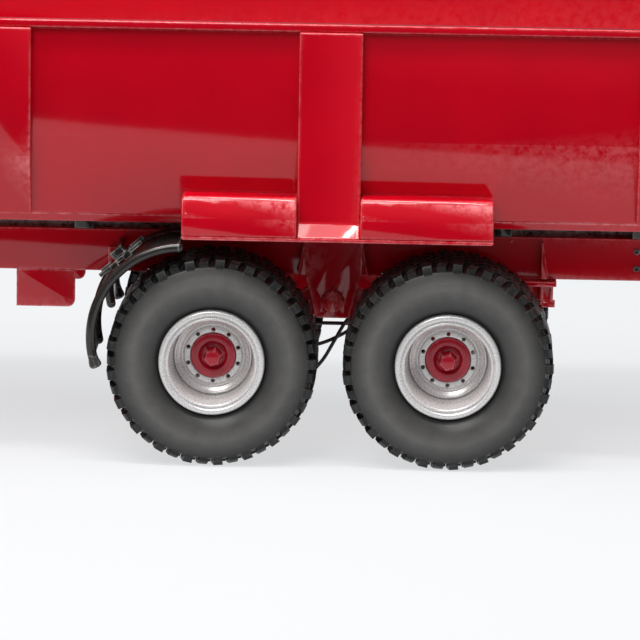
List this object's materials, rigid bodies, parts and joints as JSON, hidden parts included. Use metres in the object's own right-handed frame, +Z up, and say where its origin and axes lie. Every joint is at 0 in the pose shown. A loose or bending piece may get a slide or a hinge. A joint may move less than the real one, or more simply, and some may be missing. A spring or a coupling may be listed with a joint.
{
  "type": "manure spreader trailer model",
  "caption": "Scale model of a tandem-axle manure spreader: open hull, rocking bogie, lifting gate, beaters, spreading discs, hinged hood.",
  "frame": {"origin": "on the ground under the middle of the overall box", "axes": "+X to the rear, +Y to the vehicle's right, +Z up"},
  "size_m": [0.286, 0.08, 0.096],
  "materials": {
    "red_paint": "gloss",
    "black_paint": "gloss",
    "bare_steel": "satin",
    "grey_metal": "satin",
    "black_rubber": "satin",
    "red_lens": "gloss",
    "tyre_rubber": "satin",
    "rim_silver": "satin",
    "hub_red": "gloss"
  },
  "bodies": {
    "chassis": {"beater_bearings": "black_paint", "bumper_bar": "black_paint", "chassis_rails": "red_paint", "cross_members": "red_paint", "disc_beam": "red_paint", "drawbar": "red_paint", "fender_boxes": "red_paint", "fender_lips": "red_paint", "floor_chains": "bare_steel", "floor_slats": "grey_metal", "gate_barrels": "black_paint", "gate_guides": "red_paint", "gearbox": "red_paint", "guard_clamps": "black_paint", "headboard": "red_paint", "hitch_eye": "bare_steel", "hood_pins": "black_paint", "hull_bearers": "black_paint", "hull_posts": "red_paint", "hull_rim": "red_paint", "hull_shell": "red_paint", "hull_sills": "red_paint", "jack_housing": "red_paint", "ladder": "black_paint", "mudguards": "black_paint", "pivot_brackets": "red_paint", "pivot_pins": "red_paint", "rail_brackets": "red_paint", "rail_gussets": "red_paint", "spreader_walls": "red_paint", "tail_lamps": "red_lens"},
    "bogie": {"bogie_rockers": "red_paint", "bogie_axles": "black_paint", "brake_gear": "black_paint", "brake_rods": "black_rubber", "brake_hoses": "black_rubber"},
    "jack": {"jack_leg": "bare_steel", "jack_foot": "bare_steel"},
    "gate": {"gate": "red_paint", "gate_rods": "bare_steel"},
    "drive_shaft": {"drive_shaft": "bare_steel"},
    "beater_lower": {"beater_lower": "grey_metal", "beater_lower_blades": "grey_metal"},
    "beater_upper": {"beater_upper": "grey_metal", "beater_upper_blades": "grey_metal"},
    "disc_left": {"disc_left": "grey_metal"},
    "disc_right": {"disc_right": "grey_metal"},
    "hood": {"rear_hood": "red_paint"},
    "wheel_front_left": {"front_left_tyre": "tyre_rubber", "front_left_rim": "rim_silver", "front_left_hub": "hub_red"},
    "wheel_front_right": {"front_right_tyre": "tyre_rubber", "front_right_rim": "rim_silver", "front_right_hub": "hub_red"},
    "wheel_rear_left": {"rear_left_tyre": "tyre_rubber", "rear_left_rim": "rim_silver", "rear_left_hub": "hub_red"},
    "wheel_rear_right": {"rear_right_tyre": "tyre_rubber", "rear_right_rim": "rim_silver", "rear_right_hub": "hub_red"}
  },
  "joints": [
    {"name": "bogie_rock", "type": "hinge", "parent": "chassis", "child": "bogie", "pos_m": [0.03, 0, 0.031], "axis": [0, 1, 0], "range_deg": [-3.5, 3.5]},
    {"name": "jack_slide", "type": "slide", "parent": "chassis", "child": "jack", "axis": [0, 0, 1], "range_m": [0, 0.014]},
    {"name": "gate_lift", "type": "slide", "parent": "chassis", "child": "gate", "axis": [0, 0, 1], "range_m": [0, 0.028]},
    {"name": "beater_lower_spin", "type": "hinge", "parent": "chassis", "child": "beater_lower", "pos_m": [0.1114, 0, 0.062], "axis": [0, 1, 0], "continuous": true},
    {"name": "beater_upper_spin", "type": "hinge", "parent": "chassis", "child": "beater_upper", "pos_m": [0.1122, 0, 0.0805], "axis": [0, 1, 0], "continuous": true},
    {"name": "disc_left_spin", "type": "hinge", "parent": "chassis", "child": "disc_left", "pos_m": [0.121, -0.017, 0.044], "axis": [0, 0, 1], "continuous": true},
    {"name": "disc_right_spin", "type": "hinge", "parent": "chassis", "child": "disc_right", "pos_m": [0.121, 0.017, 0.044], "axis": [0, 0, 1], "continuous": true},
    {"name": "shaft_spin", "type": "hinge", "parent": "chassis", "child": "drive_shaft", "pos_m": [0, 0, 0.0408], "axis": [1, 0, 0], "continuous": true},
    {"name": "hood_lift", "type": "hinge", "parent": "chassis", "child": "hood", "pos_m": [0.103, 0, 0.0936], "axis": [0, -1, 0], "range_deg": [0, 70]},
    {"name": "wheel_front_left_spin", "type": "hinge", "parent": "bogie", "child": "wheel_front_left", "pos_m": [0.0058, 0, 0.0217], "axis": [0, 1, 0], "continuous": true},
    {"name": "wheel_front_right_spin", "type": "hinge", "parent": "bogie", "child": "wheel_front_right", "pos_m": [0.0058, 0, 0.0217], "axis": [0, 1, 0], "continuous": true},
    {"name": "wheel_rear_left_spin", "type": "hinge", "parent": "bogie", "child": "wheel_rear_left", "pos_m": [0.0542, 0, 0.0217], "axis": [0, 1, 0], "continuous": true},
    {"name": "wheel_rear_right_spin", "type": "hinge", "parent": "bogie", "child": "wheel_rear_right", "pos_m": [0.0542, 0, 0.0217], "axis": [0, 1, 0], "continuous": true}
  ],
  "couplings": [
    {"joint": "beater_upper_spin", "follows": "beater_lower_spin", "ratio": 1},
    {"joint": "disc_left_spin", "follows": "beater_lower_spin", "ratio": 2},
    {"joint": "disc_right_spin", "follows": "beater_lower_spin", "ratio": -2},
    {"joint": "shaft_spin", "follows": "beater_lower_spin", "ratio": 2.5}
  ]
}
